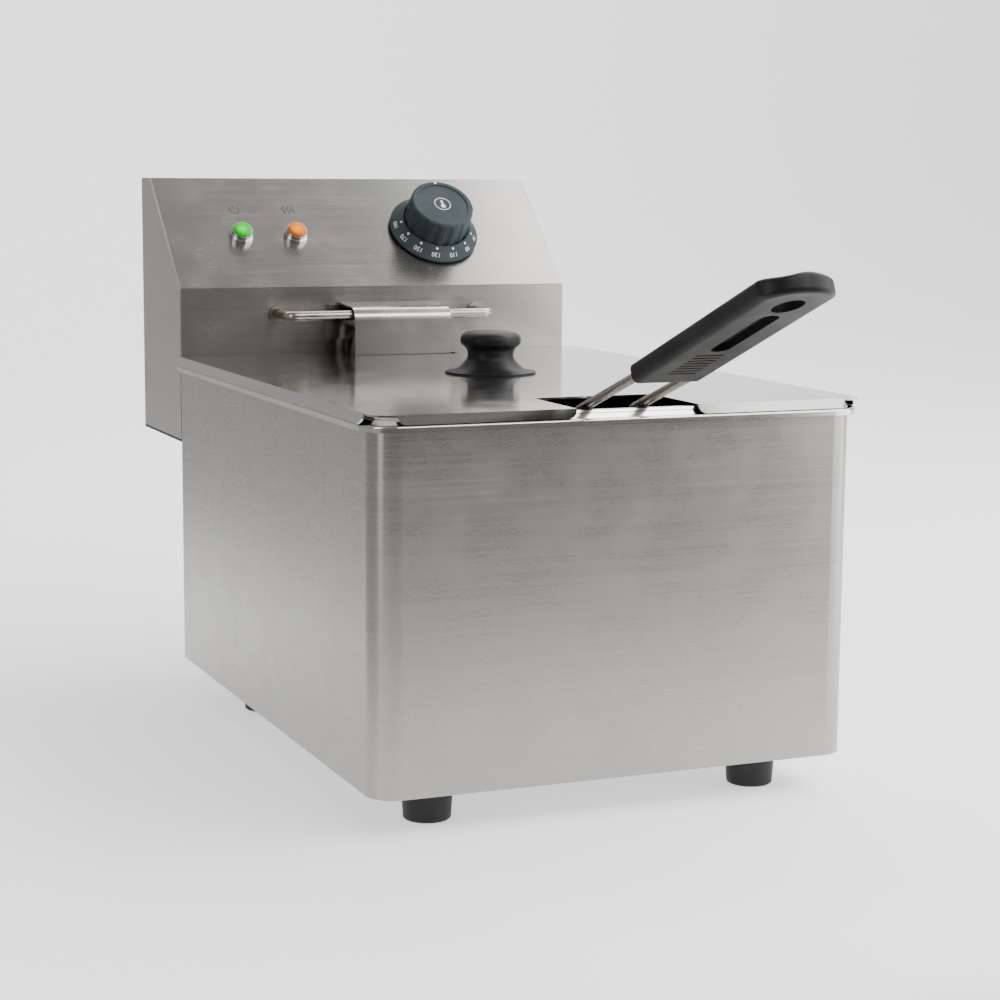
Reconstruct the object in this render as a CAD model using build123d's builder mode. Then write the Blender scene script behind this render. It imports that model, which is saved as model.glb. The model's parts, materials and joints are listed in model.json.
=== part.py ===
from build123d import *
import os
from math import atan2, cos, degrees, hypot, radians, sin, tan

# Countertop deep fryer, millimetres. Origin on the counter under the middle of the body,
# +X to the right, +Y to the back, +Z up. The lid, basket, control head and pan all lift off.

# ---------------------------------------------------------------- driving dimensions
SHEET = 1.0
BODY_W = 265.0
BODY_FRONT_Y = -177.5
BODY_REAR_Y = 177.0
BODY_BOTTOM_Z = 20.3
BODY_TOP_Z = 200.5
BODY_FRONT_CORNER_R = 14.0
BODY_REAR_CORNER_R = 1.6
BASE_FLANGE = 12.0

FOOT_INSET_X = 39.8
FOOT_FRONT_INSET = 34.0
FOOT_REAR_INSET = 68.4
FOOT_REAR_INSET_X = 32.0
FOOT_R_BOTTOM = 12.2
FOOT_R_TOP = 13.5

PAN_REAR_Y = 172.1
PAN_LIP_OUT = 4.5
PAN_LIP_TOP_Z = 204.0
PAN_STEP_OUT = 1.0
PAN_STEP_TOP_Z = 207.8
PAN_WALL_IN = 5.0
PAN_FLOOR_Z = 60.0

LID_TOP_Z = 209.2
LID_HALF_W = 134.5
LID_FRONT_Y = -180.0
LID_REAR_Y = 176.9
LID_CORNER_R = 9.0
LID_FLANGE_DROP = 5.0
LID_SIDE_FLARE = 3.2
LID_FRONT_FLARE = 1.5
FRONT_NOTCH_X = (-29.0, 38.0)
FRONT_NOTCH_Y = -127.0
REAR_NOTCH_X = (-32.0, 38.5)
REAR_NOTCH_Y = 142.0
LID_KNOB_X = 5.5
LID_KNOB_Y = 12.0

HEAD_LEFT_X = -132.3
HEAD_RIGHT_X = 125.6
HEAD_FRONT_Y = 177.5
HEAD_REAR_Y = 268.5
HEAD_BOTTOM_Z = 157.4
HEAD_FOLD_Z = 250.4
HEAD_TOP_Y = 248.1
HEAD_TOP_Z = 317.0

DIAL_X = 47.3
DIAL_S = 47.5
LAMP_XS = {"green": -83.0, "orange": -47.0}
LAMP_S = 45.2

BAR_X = (-69.8, 63.6)
BAR_Z = 233.8
BAR_Y = 152.0
BAR_R = 3.0
COVER_X = (-30.0, 33.5)
COVER_FRONT_Y = 144.5
COVER_TOP_Z = 240.5
COVER_BOTTOM_Z = 203.0
COVER_FALL = 1.9
COVER_BEND_R = 8.0

ELEMENT_R = 3.5
ELEMENT_EXIT_Z = 228.5
ELEMENT_DROP_Y = 159.5
ELEMENT_FLOOR_Z = 72.0
ELEMENT_X = 1.75
CAPILLARY_X = 30.2
CAPILLARY_Z = 221.5

BASKET_X = -2.75
BASKET_W = 200.0
BASKET_FRONT_Y = -146.0
BASKET_REAR_Y = 126.0
BASKET_BOTTOM_Z = 92.0
BASKET_TOP_Z = 196.0
BASKET_CORNER_R = 24.0
BASKET_WALL = 2.0
WIRE_R = 2.4
ROD_SPACING = 30.5
ROD_SLOPE = radians(19.5)
GRIP_SLOPE = radians(21.0)
GRIP_FACE_Y = -222.0
GRIP_FACE_Z = 228.3
GRIP_LENGTH = 140.5
GRIP_HALF_W = 18.8
GRIP_UNDER = 4.0
GRIP_WAIST = 2.4
GRIP_DOME = 5.8

# ---------------------------------------------------------------- derived places
BODY_MID_Y = (BODY_FRONT_Y + BODY_REAR_Y) / 2
BODY_D = BODY_REAR_Y - BODY_FRONT_Y
FOOT_POINTS = [
    (side * (BODY_W / 2 - inset), y)
    for side in (-1, 1)
    for inset, y in (
        (FOOT_INSET_X, BODY_FRONT_Y + FOOT_FRONT_INSET),
        (FOOT_REAR_INSET_X, BODY_REAR_Y - FOOT_REAR_INSET),
    )
]
HEAD_MID_X = (HEAD_LEFT_X + HEAD_RIGHT_X) / 2
PANEL_SLOPE = atan2(HEAD_TOP_Z - HEAD_FOLD_Z, HEAD_TOP_Y - HEAD_FRONT_Y)
PANEL = Plane(
    origin=(0, HEAD_FRONT_Y, HEAD_FOLD_Z),
    x_dir=(1, 0, 0),
    z_dir=(0, -sin(PANEL_SLOPE), cos(PANEL_SLOPE)),
)
STUD_XS = (HEAD_MID_X - 88, HEAD_MID_X + 88)
STUD_Z = 184.0
ELEMENT_XS = [ELEMENT_X + offset for offset in (-22.5, -7.5, 7.5, 22.5)]


def on_panel(x, s, height=0.0):
    """Plane parallel to the slanted panel, centred x across and s up it, height above it."""
    return Plane(origin=PANEL.from_local_coords((x, s, height)), x_dir=PANEL.x_dir, z_dir=PANEL.z_dir)


def facing(x, y, z, direction):
    """Plane at a point with its normal along direction."""
    return Plane(origin=(x, y, z), z_dir=direction)


def add_discs(plane, steps, mode=Mode.ADD):
    """Coaxial discs along the plane's normal; each step is (start, end, radius)."""
    for start, end, radius in steps:
        with BuildSketch(plane.offset(start)) as disc:
            Circle(radius)
        extrude(disc.sketch, amount=end - start, mode=mode)


def add_hex(plane, start, end, across_flats, bore_r):
    """Hexagon nut with a plain bore, along the plane's normal."""
    with BuildSketch(plane.offset(start)) as hexagon:
        RegularPolygon(radius=across_flats / 2, side_count=6, major_radius=False)
        Circle(bore_r, mode=Mode.SUBTRACT)
    extrude(hexagon.sketch, amount=end - start)


def add_block(x_range, y_range, z_range, mode=Mode.ADD):
    """Box given by its limits along X, Y and Z."""
    size = [high - low for low, high in (x_range, y_range, z_range)]
    middle = [(low + high) / 2 for low, high in (x_range, y_range, z_range)]
    with Locations(tuple(middle)):
        Box(*size, mode=mode)


def add_tube(points, bend, radius):
    """Round bar along straight runs joined by arcs."""
    with BuildLine() as route:
        FilletPolyline(*points, radius=bend)
    with BuildSketch(Plane(origin=route.line @ 0, z_dir=route.line % 0)) as section:
        Circle(radius)
    sweep(section.sketch, path=route.line)


def pan_outline(grow):
    """Plan outline of the pan, grown outwards from the housing line."""
    front = BODY_FRONT_Y - grow
    rear = PAN_REAR_Y + grow
    corner = 16.0 + grow if grow > -PAN_WALL_IN else 22.0
    with BuildSketch() as outline:
        with Locations((0, (front + rear) / 2)):
            Rectangle(BODY_W + 2 * grow, rear - front)
        fillet(outline.vertices().group_by(Axis.Y)[0], radius=corner)
        fillet(outline.vertices().group_by(Axis.Y)[-1], radius=min(corner, 8.0 + grow / 2))
    return outline.sketch


# ================================================================ housing
with BuildPart() as outer_housing:
    with BuildSketch(Plane.XY.offset(BODY_BOTTOM_Z)) as wrap:
        with Locations((0, BODY_MID_Y)):
            Rectangle(BODY_W, BODY_D)
        fillet(wrap.vertices().group_by(Axis.Y)[0], radius=BODY_FRONT_CORNER_R)
        fillet(wrap.vertices().group_by(Axis.Y)[-1], radius=BODY_REAR_CORNER_R)
    extrude(amount=BODY_TOP_Z - BODY_BOTTOM_Z)
    with BuildSketch(Plane.XY.offset(BODY_BOTTOM_Z + SHEET)) as cavity:
        with Locations((0, BODY_MID_Y)):
            Rectangle(BODY_W - 2 * SHEET, BODY_D - 2 * SHEET)
        fillet(cavity.vertices().group_by(Axis.Y)[0], radius=BODY_FRONT_CORNER_R - SHEET)
    extrude(amount=BODY_TOP_Z, mode=Mode.SUBTRACT)
    with BuildSketch(Plane.XY.offset(BODY_BOTTOM_Z)):
        with Locations((0, BODY_MID_Y)):
            RectangleRounded(BODY_W - 2 * BASE_FLANGE, BODY_D - 2 * BASE_FLANGE, radius=6)
    extrude(amount=SHEET, mode=Mode.SUBTRACT)
    for stud_x in STUD_XS:
        add_discs(facing(stud_x, BODY_REAR_Y + 1, STUD_Z, (0, -1, 0)), [(0, 4, 2.6)], Mode.SUBTRACT)

BASE_PLATE_Z = BODY_BOTTOM_Z + SHEET
PLATE_SCREW_POINTS = [
    (side * (BODY_W / 2 - 7), BODY_MID_Y + offset) for side in (-1, 1) for offset in (-120, 0, 120)
]
with BuildPart() as base_plate:
    with BuildSketch(Plane.XY.offset(BASE_PLATE_Z)) as plate:
        with Locations((0, BODY_MID_Y)):
            Rectangle(BODY_W - 2 * SHEET - 1, BODY_D - 2 * SHEET - 1)
        fillet(plate.vertices().group_by(Axis.Y)[0], radius=BODY_FRONT_CORNER_R)
        with Locations((0, BODY_MID_Y)):
            with GridLocations(56, 22, 3, 7):
                SlotOverall(42, 5, mode=Mode.SUBTRACT)
        with Locations(*FOOT_POINTS):
            Circle(2.4, mode=Mode.SUBTRACT)
        with Locations(*PLATE_SCREW_POINTS):
            Circle(1.7, mode=Mode.SUBTRACT)
    extrude(amount=SHEET)

with BuildPart(mode=Mode.PRIVATE) as screw_clearance:
    with BuildSketch(Plane.XY.offset(BODY_BOTTOM_Z - 1)):
        with Locations(*PLATE_SCREW_POINTS):
            Circle(1.7)
    extrude(amount=SHEET + 1)
outer_housing.part = outer_housing.part - screw_clearance.part

with BuildPart() as base_plate_screws:
    for x, y in PLATE_SCREW_POINTS:
        add_discs(facing(x, y, BODY_BOTTOM_Z, (0, 0, 1)), [(-1.6, 0, 3.2), (0, 7, 1.55)])

FOOT_SCREW_SEAT_Z = 8.0
with BuildPart() as feet:
    with Locations(*[(x, y, 0) for x, y in FOOT_POINTS]):
        Cone(
            bottom_radius=FOOT_R_BOTTOM,
            top_radius=FOOT_R_TOP,
            height=BASE_PLATE_Z,
            align=(Align.CENTER, Align.CENTER, Align.MIN),
        )
    chamfer(feet.edges().group_by(Axis.Z)[0], length=0.8)
    for x, y in FOOT_POINTS:
        add_discs(Plane((x, y, -1)), [(0, FOOT_SCREW_SEAT_Z + 1, 5.2), (0, 30, 2.4)], Mode.SUBTRACT)

with BuildPart() as foot_screws:
    for x, y in FOOT_POINTS:
        add_discs(Plane((x, y, 0)), [(FOOT_SCREW_SEAT_Z - 2.8, FOOT_SCREW_SEAT_Z, 4.2)])
        add_discs(Plane((x, y, 0)), [(FOOT_SCREW_SEAT_Z, BASE_PLATE_Z + 6, 2.0)])

with BuildPart() as foot_nuts:
    for x, y in FOOT_POINTS:
        add_hex(Plane((x, y, 0)), BASE_PLATE_Z + SHEET, BASE_PLATE_Z + SHEET + 3.2, 7.0, 2.05)

with BuildPart() as head_locating_studs:
    for stud_x in STUD_XS:
        inner = BODY_REAR_Y - SHEET
        add_discs(
            facing(stud_x, inner, STUD_Z, (0, 1, 0)),
            [(-1.5, 0, 5.0), (0, SHEET, 2.5), (SHEET, SHEET + 2.6, 3.5), (SHEET + 2.6, SHEET + 4.6, 7.0)],
        )

# ================================================================ pan
with BuildPart() as oil_pan:
    rim_base_z = BODY_TOP_Z + 0.2
    wall_outline = pan_outline(-PAN_WALL_IN)
    with BuildSketch(Plane.XY.offset(rim_base_z)):
        add(pan_outline(PAN_LIP_OUT))
    extrude(amount=PAN_LIP_TOP_Z - rim_base_z)
    fillet(oil_pan.faces().sort_by(Axis.Z)[-1].edges(), radius=1.2)
    step_rise = PAN_STEP_TOP_Z - PAN_LIP_TOP_Z
    step_taper = degrees(atan2(2 * PAN_STEP_OUT, step_rise))
    with BuildSketch(Plane.XY.offset(PAN_LIP_TOP_Z)):
        add(pan_outline(PAN_STEP_OUT))
    extrude(amount=step_rise, taper=step_taper)
    with BuildSketch(Plane.XY.offset(PAN_FLOOR_Z - SHEET)) as tub:
        add(wall_outline)
        offset(amount=0.8, kind=Kind.ARC)
    extrude(amount=PAN_LIP_TOP_Z - PAN_FLOOR_Z)
    fillet(oil_pan.faces().sort_by(Axis.Z)[0].edges(), radius=13)
    with BuildSketch(Plane.XY.offset(rim_base_z)):
        add(pan_outline(PAN_LIP_OUT - SHEET))
        add(pan_outline(-PAN_WALL_IN + 0.8), mode=Mode.SUBTRACT)
    extrude(amount=PAN_LIP_TOP_Z - SHEET - rim_base_z, mode=Mode.SUBTRACT)
    with BuildSketch(Plane.XY.offset(PAN_LIP_TOP_Z - SHEET)):
        add(pan_outline(-0.2))
        add(pan_outline(-PAN_WALL_IN + 0.8), mode=Mode.SUBTRACT)
    extrude(amount=step_rise - 0.2, mode=Mode.SUBTRACT)
with BuildPart(mode=Mode.PRIVATE) as tub_hollow:
    with BuildSketch(Plane.XY.offset(PAN_FLOOR_Z)):
        add(wall_outline)
    extrude(amount=PAN_STEP_TOP_Z - PAN_FLOOR_Z + 1)
    fillet(tub_hollow.faces().sort_by(Axis.Z)[0].edges(), radius=12)
oil_pan.part = oil_pan.part - tub_hollow.part

# ================================================================ lid
with BuildPart() as lid_panel:
    with BuildSketch(Plane.XY.offset(LID_TOP_Z - SHEET)) as sheet:
        with Locations((0, (LID_FRONT_Y + LID_REAR_Y) / 2)):
            Rectangle(2 * LID_HALF_W, LID_REAR_Y - LID_FRONT_Y)
        fillet(sheet.vertices().group_by(Axis.Y)[0], radius=LID_CORNER_R)
        with Locations((sum(FRONT_NOTCH_X) / 2, LID_FRONT_Y)):
            RectangleRounded(
                FRONT_NOTCH_X[1] - FRONT_NOTCH_X[0],
                2 * (FRONT_NOTCH_Y - LID_FRONT_Y),
                radius=5,
                mode=Mode.SUBTRACT,
            )
        with Locations((sum(REAR_NOTCH_X) / 2, LID_REAR_Y)):
            RectangleRounded(
                REAR_NOTCH_X[1] - REAR_NOTCH_X[0],
                2 * (LID_REAR_Y - REAR_NOTCH_Y),
                radius=4,
                mode=Mode.SUBTRACT,
            )
        with Locations((LID_KNOB_X, LID_KNOB_Y)):
            Circle(2.4, mode=Mode.SUBTRACT)
    extrude(amount=SHEET)
    for side in (-1, 1):
        flange_length = hypot(LID_SIDE_FLARE, LID_FLANGE_DROP)
        outward = Vector(side * LID_FLANGE_DROP, 0, LID_SIDE_FLARE).normalized()
        side_plane = Plane(origin=(side * LID_HALF_W, 0, LID_TOP_Z), x_dir=(0, side, 0), z_dir=outward)
        front_end = LID_FRONT_Y + LID_CORNER_R + 3
        with BuildSketch(side_plane) as side_flange:
            with Locations((side * (front_end + LID_REAR_Y) / 2, -flange_length / 2)):
                Rectangle(LID_REAR_Y - front_end, flange_length)
            lower_tips = side_flange.vertices().group_by(Axis.Y)[0].sort_by(Axis.X)
            fillet(lower_tips[0 if side > 0 else -1], radius=4)
        extrude(side_flange.sketch, amount=-SHEET)
    front_plane = Plane(
        origin=(0, LID_FRONT_Y, LID_TOP_Z),
        x_dir=(1, 0, 0),
        z_dir=Vector(0, -LID_FLANGE_DROP, LID_FRONT_FLARE).normalized(),
    )
    side_stop = LID_HALF_W - LID_CORNER_R - 3
    for low, high in ((-side_stop, FRONT_NOTCH_X[0]), (FRONT_NOTCH_X[1], side_stop)):
        with BuildSketch(front_plane) as front_flange:
            with Locations(((low + high) / 2, -LID_FLANGE_DROP / 2)):
                Rectangle(high - low, LID_FLANGE_DROP)
            fillet(front_flange.vertices().group_by(Axis.Y)[0], radius=4.5)
        extrude(front_flange.sketch, amount=-SHEET)

KNOB_R = 26.0
KNOB_H = 24.5
KNOB_LIP = (KNOB_R, 1.0)
KNOB_NECK = (13.2, 10.6)
KNOB_BULGE = (17.4, 18.8)
KNOB_CROWN = (13.2, 23.4)
with BuildPart() as lid_knob:
    with BuildSketch(Plane.XZ) as knob_profile:
        with BuildLine():
            Polyline((0, 0), (KNOB_R, 0), KNOB_LIP)
            Spline(KNOB_LIP, (18.4, 3.0), (14.6, 6.8), KNOB_NECK, tangents=[(-1, 0.1), (0, 1)])
            Spline(KNOB_NECK, (14.4, 14.3), KNOB_BULGE, tangents=[(0, 1), (0, 1)])
            Spline(KNOB_BULGE, (16.4, 21.6), KNOB_CROWN, tangents=[(0, 1), (-1, 0.18)])
            Spline(KNOB_CROWN, (0, KNOB_H), tangents=[(-1, 0.18), (-1, 0)])
            Line((0, KNOB_H), (0, 0))
        make_face()
    revolve(axis=Axis.Z)
    add_discs(Plane.XY, [(-1, 14, 2.05)], Mode.SUBTRACT)
lid_knob.part = Pos(LID_KNOB_X, LID_KNOB_Y, LID_TOP_Z) * lid_knob.part

LID_UNDER_Z = LID_TOP_Z - SHEET
with BuildPart() as lid_knob_washer:
    add_discs(Plane((LID_KNOB_X, LID_KNOB_Y, LID_UNDER_Z)), [(-1.0, 0, 8.0)])
    add_discs(Plane((LID_KNOB_X, LID_KNOB_Y, LID_UNDER_Z)), [(-1.5, 0.5, 2.3)], Mode.SUBTRACT)

with BuildPart() as lid_knob_screw:
    add_discs(Plane((LID_KNOB_X, LID_KNOB_Y, LID_UNDER_Z)), [(-3.4, -1.0, 4.0), (-1.0, 13, 2.0)])

# ================================================================ control head shell
LAMP_HOLE_R = 6.0
DIAL_HOLE_R = 5.2
ELEMENT_HOLE_R = 4.2
with BuildPart() as head_front_panel:
    with BuildSketch(Plane.YZ.offset(HEAD_LEFT_X + SHEET)) as bent_sheet:
        with BuildLine() as bends:
            Polyline(
                (HEAD_FRONT_Y, HEAD_BOTTOM_Z),
                (HEAD_FRONT_Y, HEAD_FOLD_Z),
                (HEAD_TOP_Y, HEAD_TOP_Z),
                (HEAD_REAR_Y, HEAD_TOP_Z),
            )
            offset(amount=-SHEET, side=Side.RIGHT, closed=True)
        make_face()
    extrude(amount=HEAD_RIGHT_X - HEAD_LEFT_X - 2 * SHEET)
    for lamp_x in LAMP_XS.values():
        add_discs(on_panel(lamp_x, LAMP_S, -3), [(0, 6, LAMP_HOLE_R + 0.1)], Mode.SUBTRACT)
    add_discs(on_panel(DIAL_X, DIAL_S, -3), [(0, 6, DIAL_HOLE_R)], Mode.SUBTRACT)
    front_face = (0, -1, 0)
    for tube_x in ELEMENT_XS:
        hole = facing(tube_x, HEAD_FRONT_Y + 3, ELEMENT_EXIT_Z, front_face)
        add_discs(hole, [(0, 6, ELEMENT_HOLE_R)], Mode.SUBTRACT)
    for bar_x in BAR_X:
        add_discs(facing(bar_x, HEAD_FRONT_Y + 3, BAR_Z, front_face), [(0, 6, BAR_R + 0.1)], Mode.SUBTRACT)
    capillary_hole = facing(CAPILLARY_X, HEAD_FRONT_Y + 3, CAPILLARY_Z, front_face)
    add_discs(capillary_hole, [(0, 6, 2.0)], Mode.SUBTRACT)
    for stud_x in STUD_XS:
        stud_slot = (stud_x - 4.2, stud_x + 4.2)
        sheet_y = (HEAD_FRONT_Y - 1, HEAD_FRONT_Y + 3)
        add_block(stud_slot, sheet_y, (HEAD_BOTTOM_Z - 1, STUD_Z), Mode.SUBTRACT)
        add_discs(facing(stud_x, HEAD_FRONT_Y + 3, STUD_Z, front_face), [(0, 6, 4.2)], Mode.SUBTRACT)


REAR_SCREW_XS = (HEAD_LEFT_X + 7, HEAD_MID_X, HEAD_RIGHT_X - 7)
REAR_SCREW_POINTS = [(x, z) for x in REAR_SCREW_XS for z in (168.0, 306.0)]


def head_profile(inset):
    """Side outline of the head in the YZ plane, shrunk by inset."""
    with BuildSketch() as profile:
        with BuildLine():
            Polyline(
                (HEAD_FRONT_Y, HEAD_BOTTOM_Z),
                (HEAD_FRONT_Y, HEAD_FOLD_Z),
                (HEAD_TOP_Y, HEAD_TOP_Z),
                (HEAD_REAR_Y, HEAD_TOP_Z),
                (HEAD_REAR_Y, HEAD_BOTTOM_Z),
                close=True,
            )
        make_face()
        if inset:
            offset(amount=-inset, kind=Kind.INTERSECTION, mode=Mode.REPLACE)
    return profile.sketch


def end_panel(x_outer, inward):
    """Flat end plate of the head with a narrow flange turned inwards behind the front sheet."""
    flange_inset = SHEET + 0.1
    with BuildPart() as panel:
        extrude(Plane.YZ.offset(x_outer) * head_profile(0), amount=inward * SHEET)
        flange_plane = Plane.YZ.offset(x_outer + inward * SHEET)
        extrude(flange_plane * head_profile(flange_inset), amount=inward * 9)
        extrude(flange_plane * head_profile(flange_inset + SHEET), amount=inward * 9, mode=Mode.SUBTRACT)
        for x, z in REAR_SCREW_POINTS:
            screw_hole = facing(x, HEAD_REAR_Y + SHEET, z, (0, -1, 0))
            add_discs(screw_hole, [(0, 9, 1.65)], Mode.SUBTRACT)
    return panel


head_left_end = end_panel(HEAD_LEFT_X, 1)
head_right_end = end_panel(HEAD_RIGHT_X, -1)

GLAND_X = HEAD_LEFT_X + 38.0
GLAND_Z = 185.0
RESET_X = HEAD_RIGHT_X - 42.0
RESET_Z = 188.0
with BuildPart() as head_rear_cover:
    with BuildSketch(Plane.XZ.offset(-(HEAD_REAR_Y + SHEET))) as cover_sheet:
        with Locations((HEAD_MID_X, (HEAD_BOTTOM_Z + HEAD_TOP_Z) / 2)):
            Rectangle(HEAD_RIGHT_X - HEAD_LEFT_X - 1, HEAD_TOP_Z - HEAD_BOTTOM_Z - 1)
            fillet(cover_sheet.vertices(), radius=2)
        with Locations((GLAND_X, GLAND_Z)):
            Circle(8.2, mode=Mode.SUBTRACT)
        with Locations((RESET_X, RESET_Z)):
            Circle(6.1, mode=Mode.SUBTRACT)
        with Locations(*REAR_SCREW_POINTS):
            Circle(1.7, mode=Mode.SUBTRACT)
        with Locations((HEAD_MID_X, 262.0)):
            with GridLocations(54, 11, 3, 5):
                SlotOverall(40, 4, mode=Mode.SUBTRACT)
    extrude(amount=SHEET)

with BuildPart() as rear_cover_screws:
    for x, z in REAR_SCREW_POINTS:
        add_discs(facing(x, HEAD_REAR_Y + SHEET, z, (0, 1, 0)), [(0, 1.6, 3.1), (-7, 0, 1.5)])

with BuildPart() as head_bottom_plate:
    bottom_y = (HEAD_FRONT_Y, HEAD_REAR_Y)
    add_block((HEAD_LEFT_X, HEAD_RIGHT_X), bottom_y, (HEAD_BOTTOM_Z - 1.6, HEAD_BOTTOM_Z))
    for stud_x in STUD_XS:
        add_block((stud_x - 8.5, stud_x + 8.5), (HEAD_FRONT_Y - 1, HEAD_FRONT_Y + 6), (150, 160), Mode.SUBTRACT)

# ================================================================ cable entry
with BuildPart() as cable_gland:
    gland_plane = facing(GLAND_X, HEAD_REAR_Y + SHEET, GLAND_Z, (0, 1, 0))
    add_discs(gland_plane, [(0, 4, 12.0), (4, 16, 9.5), (-12, 0, 8.0)])
    fillet(cable_gland.faces().sort_by(Axis.Y)[-1].edges(), radius=2.0)
    add_discs(gland_plane, [(-13, 18, 4.5)], Mode.SUBTRACT)

with BuildPart() as gland_locknut:
    add_hex(gland_plane, -5, -SHEET, 22.0, 8.1)

# ================================================================ thermostat and knob
THERMOSTAT_DEPTH = 28.0
SHAFT_R = 3.0
with BuildPart() as thermostat_body:
    with BuildSketch(on_panel(DIAL_X, DIAL_S, -SHEET - 2.0)):
        RectangleRounded(44, 34, radius=4)
    extrude(amount=-THERMOSTAT_DEPTH)
    add_discs(on_panel(DIAL_X, DIAL_S, -SHEET - 2.0), [(0, 3.6, DIAL_HOLE_R - 0.3)])
    with BuildSketch(on_panel(DIAL_X, DIAL_S, -SHEET - 2.0)) as pads:
        with GridLocations(28, 0, 2, 1):
            Circle(4.0)
    extrude(pads.sketch, amount=1.9)
    add_discs(on_panel(DIAL_X, DIAL_S, -20), [(0, 30, SHAFT_R + 0.05)], Mode.SUBTRACT)
    with BuildSketch(on_panel(DIAL_X, DIAL_S, 1)) as screw_holes:
        with GridLocations(28, 0, 2, 1):
            Circle(1.6)
    extrude(screw_holes.sketch, amount=-12, mode=Mode.SUBTRACT)

thermostat_screw_planes = [on_panel(DIAL_X + offset, DIAL_S) for offset in (-14, 14)]
with BuildPart() as thermostat_screws:
    for plane in thermostat_screw_planes:
        add_discs(plane, [(0, 0.6, 2.8), (-8, 0, 1.5)])
with BuildPart(mode=Mode.PRIVATE) as thermostat_screw_clearance:
    for plane in thermostat_screw_planes:
        add_discs(plane, [(-3, 2, 1.6)])
head_front_panel.part = head_front_panel.part - thermostat_screw_clearance.part

SKIRT_BASE = 1.6
SKIRT_RIM = 3.0
SKIRT_TOP = 9.5
SKIRT_R = 29.4
SKIRT_TOP_R = 22.9
SKIRT_FLOOR = 5.2
GROOVE_TOP = 7.4
GRIP_TOP = 26.3
with BuildPart() as thermostat_shaft:
    add_discs(on_panel(DIAL_X, DIAL_S), [(-18, 20, SHAFT_R)])

with BuildPart() as dial_skirt:
    add_discs(on_panel(DIAL_X, DIAL_S), [(SKIRT_BASE, SKIRT_RIM, SKIRT_R)])
    with Locations(on_panel(DIAL_X, DIAL_S, SKIRT_RIM)):
        Cone(
            bottom_radius=SKIRT_R,
            top_radius=SKIRT_TOP_R,
            height=SKIRT_TOP - SKIRT_RIM,
            align=(Align.CENTER, Align.CENTER, Align.MIN),
        )
    add_discs(on_panel(DIAL_X, DIAL_S), [(SKIRT_FLOOR, SKIRT_TOP + 1, SKIRT_TOP_R - 0.9)], Mode.SUBTRACT)
    add_discs(on_panel(DIAL_X, DIAL_S), [(SKIRT_FLOOR, GROOVE_TOP, 19.2)])
    add_discs(on_panel(DIAL_X, DIAL_S), [(0, 12, SHAFT_R + 0.05)], Mode.SUBTRACT)

FLUTES = 16
FLUTE_R = 7.0
KNOB_GRIP_R = 21.3
with BuildPart() as knob_grip:
    with Locations(on_panel(DIAL_X, DIAL_S, GROOVE_TOP)):
        Cone(
            bottom_radius=KNOB_GRIP_R,
            top_radius=KNOB_GRIP_R - 0.6,
            height=GRIP_TOP - GROOVE_TOP,
            align=(Align.CENTER, Align.CENTER, Align.MIN),
        )
    grip_rims = knob_grip.edges().filter_by(GeomType.CIRCLE)
    chamfer(grip_rims.sort_by(Axis((0, 0, 0), PANEL.z_dir))[-1], length=1.2)
    with BuildSketch(on_panel(DIAL_X, DIAL_S, GROOVE_TOP - 1)) as flutes:
        with PolarLocations(KNOB_GRIP_R + FLUTE_R - 1.0, FLUTES):
            Circle(FLUTE_R)
    extrude(flutes.sketch, amount=GRIP_TOP, mode=Mode.SUBTRACT)
    add_discs(on_panel(DIAL_X, DIAL_S), [(GRIP_TOP - 0.6, GRIP_TOP + 1, 17.0)], Mode.SUBTRACT)
    add_discs(on_panel(DIAL_X, DIAL_S), [(GROOVE_TOP - 1, 21, SHAFT_R + 0.02)], Mode.SUBTRACT)

# ================================================================ lamps
for colour, lamp_x in LAMP_XS.items():
    with BuildPart() as bezel:
        add_discs(on_panel(lamp_x, LAMP_S), [(0, 2.0, 7.6), (2.0, 5.0, 6.9)])
        add_discs(on_panel(lamp_x, LAMP_S), [(-20, 0, 5.9)])
        add_discs(on_panel(lamp_x, LAMP_S), [(-14, 6, 5.2)], Mode.SUBTRACT)
    with BuildPart() as lens:
        add_discs(on_panel(lamp_x, LAMP_S), [(-13.9, 5.0, 5.1), (5.0, 6.6, 6.2)])
        lens_top = lens.faces().sort_by(Axis((0, 0, 0), PANEL.z_dir))[-1]
        fillet(lens_top.edges(), radius=1.5)
    if colour == "green":
        green_lamp_bezel, green_lamp_lens = bezel, lens
    else:
        orange_lamp_bezel, orange_lamp_lens = bezel, lens

with BuildPart() as lamp_nuts:
    for lamp_x in LAMP_XS.values():
        add_hex(on_panel(lamp_x, LAMP_S), -SHEET - 2.6, -SHEET, 15.0, 5.95)

# ================================================================ head electrics
with BuildPart() as high_limit_cutout:
    cutout_plane = facing(RESET_X, HEAD_REAR_Y - 1.5, RESET_Z, (0, -1, 0))
    add_discs(cutout_plane, [(0, 14, 15.0), (14, 32, 12.0), (-2.4, 0, 5.9)])
    add_discs(cutout_plane, [(-3, 12, 3.6)], Mode.SUBTRACT)

with BuildPart() as reset_button:
    add_discs(facing(RESET_X, HEAD_REAR_Y, RESET_Z, (0, 1, 0)), [(-7, 3.6, 3.2)])
    fillet(reset_button.faces().sort_by(Axis.Y)[-1].edges(), radius=0.8)

with BuildPart() as terminal_block:
    add_block((-75, -27), (222, 240), (HEAD_BOTTOM_Z, HEAD_BOTTOM_Z + 20))
    with Locations((-51, 231, HEAD_BOTTOM_Z + 20)):
        with GridLocations(12, 0, 4, 1):
            Cylinder(3.4, 14, mode=Mode.SUBTRACT)

with BuildPart() as interlock_microswitch:
    add_block((-6, 22), (HEAD_FRONT_Y + SHEET, HEAD_FRONT_Y + SHEET + 10), (174, 190))
    add_block((13, 19), (HEAD_FRONT_Y + SHEET + 3, HEAD_FRONT_Y + SHEET + 7), (171.5, 174))

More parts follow.
